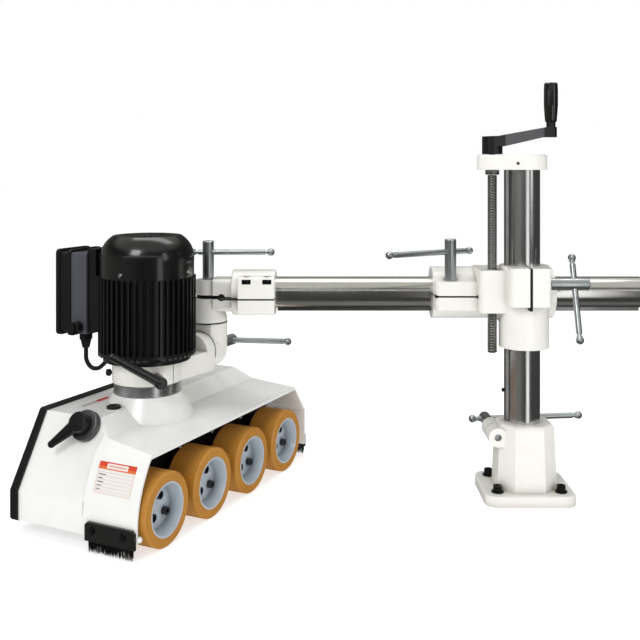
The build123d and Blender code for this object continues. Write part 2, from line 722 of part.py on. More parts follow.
def motor_body():
    low, high = motor_floor, motor_top
    outer = motor_radius + fin_depth
    body = turned([(0, low), (motor_radius - 1, low), (motor_radius - 1, low + 6), (outer, low + 13),
                   (outer, low + 18), (motor_radius, low + 18), (motor_radius, high - 4),
                   (cowl_radius - cowl_wall - 0.5, high - 4), (cowl_radius - cowl_wall - 0.5, high + 6),
                   (0, high + 6)], motor_n, motor_t)
    fins = Sketch() + [
        Rot(0, 0, 360 * k / fin_count) * Pos(motor_radius + fin_depth / 2 - 1, 0)
        * Rectangle(fin_depth + 2, fin_thickness) for k in range(fin_count)
    ]
    body += extrude(Pos(motor_n, motor_t, low + 10) * fins, high - low - 10)
    adaptor = block((motor_n - box_reach[0], motor_n - motor_radius + 10),
                    (motor_t - box_depth / 2 + 4, motor_t + box_depth / 2 - 4), (box_floor + 6, box_top + 8))
    body += adaptor & block((motor_n - 200, motor_n), (0, 600), (box_floor, high - 1)) + block(
        (motor_n - box_reach[0], motor_n - cowl_radius - 3),
        (motor_t - box_depth / 2 + 4, motor_t + box_depth / 2 - 4), (high - 2, box_top + 8))
    body += rod(motor_point(motor_radius + 4, -12, low + 4), motor_point(motor_radius + 4, -12, low + 26), 9)
    body -= upright(motor_n, motor_t, low + 10, high - 8, rotor_radius + 1)
    return in_head(body - upright(motor_n, motor_t, low - 1, high + 7, shaft_radius + 1))


def motor_rotor():
    """Shaft, rotor core and cooling fan, which turn as one."""
    low, high = motor_floor, motor_top
    shaft_low = cover_top - 10
    body = upright(motor_n, motor_t, shaft_low, high + 44, shaft_radius)
    body += upright(motor_n, motor_t, low + 20, high - 18, rotor_radius)
    body += upright(motor_n, motor_t, high + 12, high + 16, 62)
    for k in range(8):
        blade = Rot(0, 0, 45 * k) * block((20, 62), (-1.2, 1.2), (high + 15, high + 36))
        body += Pos(motor_n, motor_t, 0) * blade
    return in_head(body)


def dome(radius, height, shoulder, low, top):
    """Half profile of a domed cowl."""
    return make_face([
        Polyline((0, top), (0, low), (radius, low), (radius, low + height)),
        ThreePointArc((radius, low + height), (radius - 0.27 * shoulder, low + height + 0.62 * (top - low - height)),
                      (radius - shoulder, top - 2)),
        Line((radius - shoulder, top - 2), (0, top)),
    ])


def motor_cowl():
    low, top = motor_top, motor_top + cowl_height
    outer = revolve(Plane.XZ * dome(cowl_radius, 26, 23, low, top), Axis.Z)
    inner = revolve(Plane.XZ * dome(cowl_radius - cowl_wall, 26, 23, low - 1, top - cowl_wall), Axis.Z)
    cowl = outer - inner
    cowl -= Pos(0, 0, top - 1.6) * (Cylinder(53, 4, align=(Align.CENTER, Align.CENTER, Align.MIN)))
    slots = Sketch() + [
        Rot(0, 0, 360 * k / 24) * Pos(36, 0) * SlotOverall(26, 4.4) for k in range(24)
    ]
    cowl -= Pos(0, 0, top - 8) * extrude(slots, 12)
    cowl -= block((-cowl_radius - 5, -cowl_radius + 40), (-box_depth / 2 + 2, box_depth / 2 - 2),
                  (low - 2, low - 1))
    return in_head(Pos(motor_n, motor_t, 0) * cowl)


def cowl_screws():
    """Round heads on three sides of the cowl; the switch box covers the fourth side."""
    centre = (motor_n, motor_t, motor_top + 9)
    cowl_side = upright(motor_n, motor_t, motor_top, motor_top + 20, cowl_radius + tiny)
    screws = []
    for k in range(3):
        angle = radians(-112 + head_angle + 90 * k)
        way = (cos(angle), sin(angle), 0.0)
        head = rod(along(centre, way, cowl_radius - 2), along(centre, way, cowl_radius + 3.5), 4)
        outer_edge = head.edges().sort_by_distance(Vector(*along(centre, way, cowl_radius + 10)))[0]
        screws.append(fillet(outer_edge, 1.5) - cowl_side)
    return in_head(Compound(children=screws))


# ---------------------------------------------------------------- switch box and its lead
def switch_box():
    near, far, _ = box_reach
    half = box_depth / 2
    box = block((motor_n - far, motor_n - near), (motor_t - half, motor_t + half), (box_floor, box_top))
    return in_head(fillet(box.edges().filter_by(Axis.X), 4))


def switch_box_lid():
    _, near, far = box_reach
    half = box_depth / 2
    lid = block((motor_n - far, motor_n - near), (motor_t - half, motor_t + half), (box_floor, box_top))
    lid = fillet(lid.edges().filter_by(Axis.X), 8)
    flange = block((motor_n - near - 8, motor_n - near), (motor_t - half - 2, motor_t + half + 2),
                   (box_floor - 5, box_top + 5))
    back = block((motor_n - far, motor_n - far + 8), (motor_t - half - 2, motor_t + half + 2),
                 (box_floor - 5, box_top + 5))
    lid += fillet(flange.edges().filter_by(Axis.X), 8) + fillet(back.edges().filter_by(Axis.X), 8)
    return in_head(lid)


knob_out = box_reach[0] + 18
knob_z = box_floor + 13.0


def switch_knob():
    base = motor_point(knob_out, -box_depth / 2 - 0.2, knob_z)
    tip = motor_point(knob_out, -box_depth / 2 - 14, knob_z)
    knob = rod(base, tip, 11)
    knob = fillet(knob.edges().sort_by_distance(Vector(*tip))[0], 2)
    grip = block((motor_n - knob_out - 3, motor_n - knob_out + 3),
                 (motor_t - box_depth / 2 - 17, motor_t - box_depth / 2 - 13), (knob_z - 10, knob_z + 10))
    return in_head(knob + grip)


gland_out = box_reach[0] + 18
gland_along = -22.0
gland_tip = box_floor - 28.0


def cable_gland():
    n, t = motor_n - gland_out, motor_t + gland_along
    nut = extrude(Pos(n, t, box_floor) * RegularPolygon(12.5, 6), -12)
    taper = turned([(0, gland_tip), (cable_radius + 2.5, gland_tip), (10.5, box_floor - 11),
                    (0, box_floor - 11)], n, t)
    return in_head(nut + taper)


def motor_cable():
    """The lead from the switch box to the motor: a short loop that both ends hold."""
    end_z = motor_floor + 4
    low = motor_floor - 26
    route = [
        motor_point(gland_out, gland_along, gland_tip),
        motor_point(gland_out, gland_along, gland_tip - 24),
        motor_point(gland_out - 11, gland_along + 2, low),
        motor_point(gland_out - 26, gland_along + 5, low),
        motor_point(motor_radius + 4, -12, end_z - 16),
        motor_point(motor_radius + 4, -12, end_z),
    ]
    points = [Vector(*p) for p in route]
    radii = []
    for before, here, after in zip(points, points[1:], points[2:]):
        turn = radians((here - before).get_angle(after - here))
        shorter = min((here - before).length, (after - here).length)
        radii.append(0.45 * shorter / (sin(turn / 2) / cos(turn / 2)))
    path = FilletPolyline(*points, radius=radii)
    section = Plane(origin=points[0], z_dir=points[1] - points[0]) * Circle(cable_radius)
    cable = sweep(section, path)
    ratio = cable.volume / (pi * cable_radius ** 2 * path.length)
    print("cable radii", [round(r, 1) for r in radii], "length", round(path.length, 1), "volume ratio", round(ratio, 4))
    return in_head(cable)


# ---------------------------------------------------------------- small things on the head
holder_thickness = 5.0
holder_low, holder_high = 18.0, 48.0
holder_n = (-99.0, -1.0)
slot_n = (-84.0, -23.0)


def mirrored_ends(part):
    """A piece at the infeed end and its mirror image at the outfeed end."""
    other = mirror(part, Plane.XZ.offset(-cover_length / 2))
    return in_head(Compound(children=[part, other]))


def brush_holders():
    low_n, high_n = holder_n
    outline = polygon((low_n, holder_low), (low_n, holder_high - 5), (low_n + 5, holder_high),
                      (high_n - 5, holder_high), (high_n, holder_high - 5), (high_n, holder_low))
    holder = slab(outline, Plane.XZ, 0, holder_thickness)
    for n in slot_n:
        slot = Pos(n, 0, 35) * Rot(90, 0, 0) * extrude(Rot(0, 0, 90) * SlotOverall(14, 6), 20, both=True)
        holder -= slot
    return mirrored_ends(holder)


def brush_screws():
    screws = [rod((n, -tiny, 35), (n, -holder_thickness + 1, 35), 2.8)
              + rod((n, -holder_thickness, 35), (n, -holder_thickness - 2.4, 35), 5) for n in slot_n]
    return mirrored_ends(Compound(children=screws))


def brush_bristles():
    return mirrored_ends(block((holder_n[0] + 7, holder_n[1] - 3), (-4.5, -0.8), (0.5, holder_low)))


def skirt_screws():
    screws = []
    for k in range(4):
        t = 119 + 97 * k
        screws.append(rod((-2, t, skirt_edge - 4), (-2, t, skirt_edge), 3.2))
    return in_head(Compound(children=screws))


def oil_plug():
    n, t = -146.0, 126.0
    plug = extrude(Pos(n, t, cover_top) * RegularPolygon(12.5, 12), 6)
    plug = chamfer(plug.faces().sort_by(Axis.Z)[-1].edges(), 1)
    return in_head(plug - extrude(Pos(n, t, cover_top + 3) * RegularPolygon(4.5, 6), 5))


slope_rise = (cover_top - front_crease) / hypot(front_crest, cover_top - front_crease)
slope_run = front_crest / hypot(front_crest, cover_top - front_crease)
dial_t = 60.0
dial_centre = (-148.0, dial_t, front_crease + dial_t * slope_rise / slope_run)
slope_out = (0.0, -slope_rise, slope_run)
dial_radius = 26.0
dial_height = 12.0
selector_reach = 58.0
selector_way = (-0.70, -0.714 * slope_run, -0.714 * slope_rise)


def selector_dial():
    dial = rod(dial_centre, along(dial_centre, slope_out, dial_height), dial_radius)
    top = along(dial_centre, slope_out, dial_height)
    dial = fillet(dial.edges().sort_by_distance(Vector(*top))[0], 3)
    return in_head(dial + rod(top, along(top, slope_out, 5), 9))


def selector_lever():
    base = along(dial_centre, slope_out, dial_height + 0.4)
    top = along(base, slope_out, 20)
    hub = rod(base, top, 17)
    hub = fillet(hub.edges().sort_by_distance(Vector(*top))[0], 3)
    start = along(base, slope_out, 12)
    tip = along(start, selector_way, selector_reach)
    arm = Plane(origin=start, z_dir=selector_way).location * Cone(
        12, 6, selector_reach, align=(Align.CENTER, Align.CENTER, Align.MIN))
    lever = hub + arm + Pos(*tip) * Sphere(6.2)
    return in_head(lever - rod(along(base, slope_out, -1), along(base, slope_out, 5.2), 9 + running))


# ---------------------------------------------------------------- wheels and their sprung arms
def swing_arm(t):
    axle = (t, axle_z)
    pivot = (t + arm_pivot_back, axle_z + arm_pivot_rise)
    outline = hull_of_circles((*axle, 30), (*pivot, 25))
    arm = slab(outline, Plane.YZ, arm_inner, arm_inner + arm_thickness)
    for centre in (axle, pivot):
        arm -= rod((arm_inner - 1, *centre), (arm_inner + arm_thickness + 1, *centre), axle_radius + running)
    return in_head(arm)


def on_axle(profile, t):
    """Turns a half profile of (distance across, radius) about a wheel's axle."""
    face = Plane.XY * polygon(*profile)
    return in_head(Pos(0, t, axle_z) * revolve(face, Axis.X))


def tyre(t):
    inner, outer = wheel_face - wheel_width, wheel_face
    return on_axle([
        (inner, wheel_bore_radius), (outer, wheel_bore_radius), (outer, wheel_radius - 2.5),
        (outer - 2.5, wheel_radius), (inner + 2.5, wheel_radius), (inner, wheel_radius - 2.5),
    ], t)


def rim(t):
    """The dished wheel centre with its axle and three cap screws."""
    inner, outer = wheel_face - wheel_width, wheel_face
    web = outer - dish_depth
    shell = on_axle([
        (outer, wheel_bore_radius), (outer, wheel_bore_radius - 3), (web, wheel_bore_radius - 9), (web, 0),
        (arm_inner + 1, 0), (arm_inner + 1, axle_radius), (inner - 3, axle_radius), (inner - 3, 16),
        (web - 9, 16), (web - 9, wheel_bore_radius - 10), (inner, wheel_bore_radius - 5),
        (inner, wheel_bore_radius),
    ], t)
    screws = []
    for k in range(3):
        angle = radians(90 + 120 * k)
        seat = (web, t + 21 * cos(angle), axle_z + 21 * sin(angle))
        screws.append(in_head(cap_head_screw(seat, (1, 0, 0), 0.5, 4.2)))
    shell -= Compound(children=[in_head(rod((web - 1, t + 21 * cos(radians(90 + 120 * k)),
                                             axle_z + 21 * sin(radians(90 + 120 * k))),
                                            (web + 1, t + 21 * cos(radians(90 + 120 * k)),
                                             axle_z + 21 * sin(radians(90 + 120 * k))), 4.2)) for k in range(3)])
    return Compound(children=[shell, *screws])


# ---------------------------------------------------------------- every node
nodes = {
    "base_casting": base_casting, "base_bolts": base_bolts,
    "base_clamp_stud": base_clamp_stud, "base_clamp_bar": base_clamp_bar,
    "column_tube": column_tube, "column_key": column_key, "key_stop_screw": key_stop_screw,
    "column_cap": column_cap, "lead_screw": lead_screw, "crank_arm": crank_arm, "crank_grip": crank_grip,
    "cross_bracket": cross_bracket, "lead_nut": lead_nut,
    "column_clamp_stud": column_clamp_stud,
    "column_clamp_bar": lambda: sliding_bar(column_bar_middle, column_bar_way, -102, 49),
    "overarm_clamp_stud": overarm_clamp_stud,
    "overarm_clamp_bar": lambda: sliding_bar(arm_bar_middle, arm_bar_way, -141, 46),
    "overarm_tube": overarm_tube, "overarm_key": overarm_key,
    "arm_end_clamp": arm_end_clamp, "arm_end_screws": arm_end_screws,
    "pivot_clamp_stud": pivot_clamp_stud,
    "pivot_clamp_bar": lambda: sliding_bar(pivot_bar_middle, (1, 0, 0), -31, 123),
    "swivel_knuckle": swivel_knuckle, "tilt_clamp_stud": tilt_clamp_stud, "tilt_clamp_bar": tilt_clamp_bar,
    "ring_arm": ring_arm, "ring_lever": ring_lever,
    "head_cover": head_cover, "side_plate": side_plate, "gear_case": gear_case, "neck_flange": neck_flange,
    "motor_body": motor_body, "motor_rotor": motor_rotor, "motor_cowl": motor_cowl, "cowl_screws": cowl_screws,
    "switch_box": switch_box, "switch_box_lid": switch_box_lid, "switch_knob": switch_knob,
    "cable_gland": cable_gland, "motor_cable": motor_cable,
    "brush_holders": brush_holders, "brush_screws": brush_screws, "brush_bristles": brush_bristles,
    "skirt_screws": skirt_screws, "oil_plug": oil_plug,
    "selector_dial": selector_dial, "selector_lever": selector_lever,
}
for number, position in enumerate(wheel_t, start=1):
    nodes[f"swing_arm_{number}"] = lambda t=position: swing_arm(t)
    nodes[f"wheel_{number}_tyre"] = lambda t=position: tyre(t)
    nodes[f"wheel_{number}_rim"] = lambda t=position: rim(t)

for name, make in nodes.items():
    export_step(make(), f"parts/{name}.step")
print(len(nodes), "nodes")
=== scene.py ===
# %% [markdown]
# A power feeder stands on a saw or a moulder and pushes boards through with driven wheels. The
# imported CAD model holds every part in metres, with +Z up and the foot at the origin, so the first
# step is to load it. The boxes of its parts and the axes of its joints then place all that follows.
# Typing the places in again would also work, but they would drift apart from the model.

# %% load the frame
import json
import random
from math import cos, pi, sin, tau

import bmesh
import bpy
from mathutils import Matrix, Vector
from mathutils.bvhtree import BVHTree


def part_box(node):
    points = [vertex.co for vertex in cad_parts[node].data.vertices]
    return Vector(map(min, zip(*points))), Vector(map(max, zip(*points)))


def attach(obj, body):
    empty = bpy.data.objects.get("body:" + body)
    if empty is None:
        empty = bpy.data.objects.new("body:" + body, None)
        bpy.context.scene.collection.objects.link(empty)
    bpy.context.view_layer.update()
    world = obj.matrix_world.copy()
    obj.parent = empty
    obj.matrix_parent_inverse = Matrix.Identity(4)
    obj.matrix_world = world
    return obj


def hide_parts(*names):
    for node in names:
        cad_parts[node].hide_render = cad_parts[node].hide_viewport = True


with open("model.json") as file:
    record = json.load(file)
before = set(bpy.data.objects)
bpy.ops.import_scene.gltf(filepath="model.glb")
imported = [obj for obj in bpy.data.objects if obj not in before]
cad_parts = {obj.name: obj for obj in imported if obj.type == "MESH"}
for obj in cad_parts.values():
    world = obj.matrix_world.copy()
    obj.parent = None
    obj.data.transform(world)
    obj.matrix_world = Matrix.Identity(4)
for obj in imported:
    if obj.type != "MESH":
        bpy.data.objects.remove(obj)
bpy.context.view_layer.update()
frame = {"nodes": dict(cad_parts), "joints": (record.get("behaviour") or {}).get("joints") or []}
nodes = frame["nodes"]
joints = {joint["name"]: joint for joint in frame["joints"]}

# %% [markdown]
# The head is turned on its swivel, so its own directions differ from the frame's. The axle of a
# wheel points across the head, and the tilt joint's axis lies along the row of wheels. Two unit
# vectors taken from those joints let a piece be placed as across, along and up.

# %% directions of the head
across = Vector(joints["wheel_1_spin"]["axis"])
along = -Vector(joints["head_tilt"]["axis"])
up = Vector((0, 0, 1))
motor_axis = Vector(joints["head_swivel"]["pos_m"]) * Vector((1, 1, 0))
first_axle = Vector(joints["wheel_1_spin"]["pos_m"])
mm = 0.001
axle_to_side, axle_to_end = 20 * mm, 68 * mm


def on_head(n, t, z):
    """A point on the head: across and along from its front corner by the wheels, and height."""
    corner = first_axle + across * axle_to_side - along * axle_to_end
    return Vector((corner.x, corner.y, 0)) + (across * n + along * t + up * z) * mm


print("across", across[:], "along", along[:])

# %% [markdown]
# A finish is a material whose colour, gloss and relief are sums of textures. Wiring such sums by
# hand takes many lines, so a small class wraps a socket and turns Python's own operators into Math
# nodes. Any other node comes from one method, which sets the node's options before its sockets.

# %% sockets that can be added up
class Value:
    """A node's output that takes part in sums."""

    def __init__(self, finish, socket):
        self.finish = finish
        self.socket = socket

    def __add__(self, other):
        return self.finish.math("ADD", self, other)

    def __sub__(self, other):
        return self.finish.math("SUBTRACT", self, other)

    def __rsub__(self, other):
        return self.finish.math("SUBTRACT", other, self)

    def __mul__(self, other):
        return self.finish.math("MULTIPLY", self, other)

    def __gt__(self, other):
        return self.finish.math("GREATER_THAN", self, other)

    def __lt__(self, other):
        return self.finish.math("LESS_THAN", self, other)

    def __abs__(self):
        return self.finish.math("ABSOLUTE", self)

    __radd__ = __add__
    __rmul__ = __mul__


class Finish:
    """A material and its node tree, with one Principled shader at the end."""

    def __init__(self, name, **fixed):
        self.material = bpy.data.materials.new(name)
        self.material.use_nodes = True
        self.tree = self.material.node_tree
        self.shader = self.tree.nodes["Principled BSDF"]
        self.set(fixed)
        self.place = self.node("ShaderNodeTexCoord")["Object"]

    def set(self, sockets):
        for name, value in sockets.items():
            self.join(self.shader.inputs[name.replace("_", " ")], value)

    def join(self, socket, value):
        if isinstance(value, Value):
            self.tree.links.new(value.socket, socket)
        elif socket.type == "RGBA" and len(value) == 3:
            socket.default_value = (*value, 1)
        else:
            socket.default_value = value

    def node(self, kind, settings=None, sockets=None):
        """Adds a node: its options first, then its sockets. Gives its outputs by name."""
        made = self.tree.nodes.new(kind)
        for name, value in (settings or {}).items():
            setattr(made, name, value)
        for name, value in (sockets or {}).items():
            self.join(made.inputs[name], value)
        return {output.name: Value(self, output) for output in made.outputs if output.enabled}

    def math(self, operation, *values):
        """One sum on one, two or three values."""
        return self.node("ShaderNodeMath", {"operation": operation}, dict(enumerate(values)))["Value"]

    def dot(self, vector, way):
        """How far a vector reaches along a direction."""
        sockets = {0: vector, 1: tuple(way)}
        return self.node("ShaderNodeVectorMath", {"operation": "DOT_PRODUCT"}, sockets)["Value"]

    def noise(self, scale, detail=3.0, stretch=(1, 1, 1), roughness=0.5):
        """Soft noise between 0 and 1, in lumps per metre, drawn out where stretch is small."""
        spot = self.node("ShaderNodeVectorMath", {"operation": "MULTIPLY"}, {0: self.place, 1: stretch})
        sockets = {"Vector": spot["Vector"], "Scale": scale, "Detail": detail, "Roughness": roughness}
        return self.node("ShaderNodeTexNoise", {}, sockets)["Fac"]

    def distance(self, way, start=0.0):
        """How far a point of the surface lies along a direction."""
        return self.dot(self.place, way) - start

    def ramp(self, value, low, high):
        """Steps smoothly from 0 to 1 as value goes from low to high."""
        sockets = {"Value": value, "From Min": low, "From Max": high}
        return self.node("ShaderNodeMapRange", {"interpolation_type": "SMOOTHSTEP"}, sockets)["Result"]

    def blend(self, amount, first, second):
        """Mixes two colours, which a Mix node takes at its seventh and eighth sockets."""
        sockets = {0: amount, 6: first, 7: second}
        return self.node("ShaderNodeMix", {"data_type": "RGBA"}, sockets)["Result"]

    def relief(self, height, depth, rounded=0.0):
        """A bump of some depth in metres, on edges that are rounded a little."""
        sockets = {"Height": height, "Distance": depth, "Strength": 1.0}
        if rounded:
            bevel = self.node("ShaderNodeBevel", {"samples": 6}, {"Radius": rounded})
            sockets["Normal"] = bevel["Normal"]
        return self.node("ShaderNodeBump", {}, sockets)["Normal"]

    def creases(self, reach):
        """0 deep in corners and 1 on open faces, the mask that the enamel uses to paint shade into
        corners.
        """
        return self.node("ShaderNodeAmbientOcclusion", {"samples": 6}, {"Distance": reach})["AO"]


print("finish class ready")

# %% [markdown]
# The castings of the stand wear thick cream enamel. Sprayed enamel levels out but keeps an orange
# peel a few millimetres across, and the sand casting under it is slightly wavy. Two noises give that
# relief, and a third texture, a mask of the corners, paints shade into them with a darker copy.

# %% enamel on castings
def enamel(name, light, shade, peel, wave, gloss):
    finish = Finish(name, Metallic=0.0)
    broad = finish.noise(28.0, 2.0)
    grain = finish.noise(420.0, 2.0)
    # where this corner mask is low the colour goes over to the shade copy: painted shade in corners
    lit_share = finish.ramp(finish.creases(0.02), 0.25, 0.95)
    colour = finish.blend(lit_share * (0.82 + 0.18 * broad), shade, light)
    finish.set({
        "Base_Color": colour,
        "Roughness": gloss + 0.10 * broad + 0.05 * grain,
        "Normal": finish.relief(broad * wave + grain * peel, 0.001, 0.0012),
        "Coat_Weight": 0.35,
        "Coat_Roughness": 0.12,
    })
    return finish


# the second colour of each is a darker copy of the enamel, painted into the corners as shade
cream = enamel("cast_enamel", (0.89, 0.88, 0.84), (0.56, 0.54, 0.48), 0.05, 0.30, 0.26)
white = enamel("sheet_enamel", (0.88, 0.88, 0.86), (0.54, 0.53, 0.50), 0.03, 0.10, 0.24)
print(cream.material.name, white.material.name)

# %% [markdown]
# Black parts are of three sorts: the motor's satin paint over a cast skin, the glossy paint of the
# pressed cowl, and moulded plastic with a fine spark texture. They share one recipe that differs in
# grain size, depth and gloss, which keeps them related but not the same.

# %% black paints and plastics
def black(name, tone, grain_scale, depth, gloss, coat=0.0, metal=0.0, rounded=0.0008):
    finish = Finish(name, Metallic=metal)
    grain = finish.noise(grain_scale, 3.0)
    cloud = finish.noise(16.0, 3.0)
    worn = finish.ramp(finish.noise(70.0, 5.0, roughness=0.7), 0.62, 0.80)
    paler = tuple(2.0 * part + 0.004 for part in tone)
    finish.set({
        "Base_Color": finish.blend(worn * 0.35 + cloud * 0.25, tone, paler),
        "Specular_IOR_Level": 0.35,
        "Roughness": gloss + 0.14 * cloud + 0.06 * grain,
        "Normal": finish.relief(grain, depth, rounded),
        "Coat_Weight": coat,
        "Coat_Roughness": 0.08,
    })
    return finish


motor_black = black("motor_paint", (0.003, 0.003, 0.003), 700.0, 0.00012, 0.30, 0.25)
cowl_black = black("cowl_paint", (0.003, 0.003, 0.003), 500.0, 0.00004, 0.16, 0.5)
plastic_black = black("moulded_plastic", (0.004, 0.004, 0.004), 900.0, 0.00010, 0.34)
case_black = black("case_paint", (0.003, 0.003, 0.003), 400.0, 0.00015, 0.42)
lever_black = black("lever_paint", (0.004, 0.004, 0.004), 350.0, 0.00008, 0.24, 0.4)
oxide_black = black("black_oxide", (0.008, 0.008, 0.009), 600.0, 0.00005, 0.30, 0.0, 0.6, 0.0004)
grip_black = black("grip_gloss", (0.003, 0.003, 0.003), 200.0, 0.000004, 0.08, 0.8)
# this black is the cable sheath and the bristles, and also the painted shade in seams, slits and holes
rubber_and_shade_black = black("sheath_and_painted_shade", (0.005, 0.005, 0.005), 800.0, 0.00006, 0.42)
box_grey = black("switch_box_paint", (0.055, 0.055, 0.072), 700.0, 0.00010, 0.30, 0.2)
print("black finishes", len(bpy.data.materials))

# %% [markdown]
# The column and the overarm are ground and polished tube. Grinding leaves hairlines round the tube,
# so the noise is drawn out round its axis, and handling leaves faint cloudy streaks along it. The
# strong bands come from the lights, not from the paint box: the surface is a plain mirror-like metal.

# %% polished and plated steel
def steel(name, tone, gloss, line_way, line_depth, haze=0.10, rounded=0.0005):
    finish = Finish(name, Metallic=1.0)
    close_up, drawn_out = (tuple(share if part else 1.0 for part in line_way) for share in (14.0, 0.3))
    lines = finish.noise(60.0, 4.0, close_up, 0.7)
    cloud = finish.noise(22.0, 4.0, drawn_out)
    stain = finish.ramp(cloud, 0.35, 0.75)
    duller = tuple(0.72 * part for part in tone)
    finish.set({
        "Base_Color": finish.blend(stain * 0.5 + lines * 0.3, tone, duller),
        "Roughness": gloss + haze * stain + 0.05 * lines,
        "Normal": finish.relief(lines, line_depth, rounded),
    })
    return finish


column_steel = steel("column_polish", (0.62, 0.62, 0.62), 0.17, (0, 0, 1), 0.00001)
overarm_steel = steel("overarm_polish", (0.68, 0.67, 0.65), 0.14, (1, 0, 0), 0.00001)
zinc = steel("zinc_plate", (0.50, 0.53, 0.54), 0.27, (0, 0, 0), 0.00002, 0.12)
turned = steel("turned_steel", (0.55, 0.56, 0.57), 0.24, (0, 0, 1), 0.00004)
screw_steel = steel("screw_steel", (0.27, 0.27, 0.27), 0.26, (0, 0, 0), 0.00003)
bronze = steel("nut_bronze", (0.60, 0.38, 0.16), 0.28, (0, 0, 0), 0.00003)
dial_metal = steel("dial_casting", (0.16, 0.16, 0.165), 0.42, (0, 0, 0), 0.00008)
print("steel finishes", len(bpy.data.materials))

# %% [markdown]
# The crank is a forging whose ends stay under black paint while its middle is milled bare. A mask
# along the arm's length swaps paint for metal: it drives the colour and the metallic value at once,
# because bare steel reflects in its own colour and paint does not.

# %% crank with a milled middle
def milled_crank():
    finish = Finish("crank_forging")
    low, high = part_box("crank_arm")
    paint, milled = (0.004, 0.004, 0.004), (0.17, 0.17, 0.18)
    place = finish.distance((1, 0, 0))
    bare = finish.ramp(place, low[0] + 0.038, low[0] + 0.044) * (
        1 - finish.ramp(place, high[0] - 0.030, high[0] - 0.024))
    lines = finish.noise(160.0, 3.0, (1, 1, 9))
    grain = finish.noise(350.0, 3.0)
    finish.set({
        "Base_Color": finish.blend(bare * (0.6 + 0.4 * lines), paint, milled),
        "Metallic": bare * 0.8,
        "Roughness": 0.26 + 0.10 * bare + 0.06 * lines,
        "Normal": finish.relief(grain + lines, 0.00008, 0.0008),
    })
    return finish


crank_black = milled_crank()
print(crank_black.material.name)

# %% [markdown]
# The tyres are cast polyurethane, a translucent yellow-brown. The tread is turned on a lathe, which
# leaves fine grooves round the wheel, and its sides stay smooth and a little lighter. The grooves
# are a wave across the wheel, and a mask from the facing direction keeps them off the sides.

# %% tyre and wheel centre
groove_pitch = 0.0021
screw_circle, screw_head, screw_face = 21 * mm, 7.2 * mm, 8.1 * mm


def tyre_rubber():
    finish = Finish("tyre_polyurethane", Metallic=0.0, Subsurface_Weight=0.12,
                    Subsurface_Scale=0.004, Subsurface_Radius=(1.0, 0.45, 0.1))
    normal = finish.node("ShaderNodeNewGeometry")["Normal"]
    side = finish.ramp(abs(finish.dot(normal, across)), 0.5, 0.8)
    groove = finish.math("SINE", finish.distance(across) * (tau / groove_pitch))
    cloud = finish.noise(30.0, 4.0)
    dust = finish.ramp(finish.noise(160.0, 4.0), 0.50, 0.72)
    body = finish.blend(cloud, (0.42, 0.175, 0.018), (0.54, 0.25, 0.034))
    turned_tread = groove * (1 - side) * 0.5
    finish.set({
        "Base_Color": finish.blend(dust * 0.16 * (1 - side), body, (0.66, 0.42, 0.14)),
        "Roughness": 0.34 + 0.18 * dust + 0.06 * cloud,
        "Normal": finish.relief(turned_tread + finish.noise(500.0, 2.0) * 0.6, 0.00010, 0.001),
    })
    return finish


def wheel_centre(number):
    """Pale blue-grey paint, with the heads of the three cap screws left black."""
    # the second colour is a darker copy of the paint, which the corner mask paints into the dish as
    # shade
    finish = enamel(f"wheel_centre_{number}", (0.50, 0.56, 0.62), (0.16, 0.18, 0.20), 0.06, 0.14, 0.34)
    axle = Vector(joints[f"wheel_{number}_spin"]["pos_m"])
    heads = 0.0
    for k in range(3):
        angle = pi / 2 + k * tau / 3
        middle = axle + (along * cos(angle) + up * sin(angle)) * screw_circle
        reach = finish.distance(along, middle.dot(along))
        rise = finish.distance(up, middle.dot(up))
        heads = heads + ((reach * reach + rise * rise) < screw_head ** 2)
    head = heads * (finish.distance(across) > axle.dot(across) + screw_face)
    paint = finish.shader.inputs["Base Color"].links[0].from_socket
    finish.set({"Base_Color": finish.blend(head, Value(finish, paint), (0.006, 0.006, 0.007))})
    return finish


tyre = tyre_rubber()
rims = [wheel_centre(k) for k in range(1, 5)]
print(tyre.material.name, len(rims), "wheel centres")

# %% [markdown]
# Each CAD part now takes its finish. A table from finish to part names is easier to read than one
# line for each part, and a check that no part was left out is then a single comparison.

# %% give every CAD part its finish
clamps = [f"{place}_clamp_{part}" for place in ("base", "column", "overarm", "pivot", "tilt")
          for part in ("stud", "bar")]
finishes = [
    (cream, ["base_casting", "column_cap", "cross_bracket", "arm_end_clamp", "swivel_knuckle",
             "ring_arm"]),
    (white, ["head_cover"]),
    (motor_black, ["motor_body"]),
    (cowl_black, ["motor_cowl"]),
    (box_grey, ["switch_box"]),
    (plastic_black, ["side_plate", "switch_box_lid", "switch_knob", "cable_gland", "oil_plug",
                     "selector_lever"]),
    (case_black, ["gear_case"] + [f"swing_arm_{k}" for k in range(1, 5)]),
    (lever_black, ["ring_lever", "brush_holders"]),
    (crank_black, ["crank_arm"]),
    (oxide_black, ["base_bolts", "arm_end_screws", "key_stop_screw", "brush_screws"]),
    (grip_black, ["crank_grip"]),
    (rubber_and_shade_black, ["motor_cable", "brush_bristles"]),
    (column_steel, ["column_tube"]),
    (overarm_steel, ["overarm_tube"]),
    (zinc, clamps + ["cowl_screws", "skirt_screws"]),
    (turned, ["neck_flange", "motor_rotor"]),
    (screw_steel, ["lead_screw", "column_key", "overarm_key"]),
    (bronze, ["lead_nut"]),
    (dial_metal, ["selector_dial"]),
    (tyre, [f"wheel_{k}_tyre" for k in range(1, 5)]),
    *[(rim, [f"wheel_{k}_rim"]) for k, rim in enumerate(rims, 1)],
]
for finish, names in finishes:
    for name in names:
        nodes[name].data.materials.clear()
        nodes[name].data.materials.append(finish.material)
finished = sorted(name for _, names in finishes for name in names)
print("parts without a finish:", sorted(set(nodes) - set(finished)))
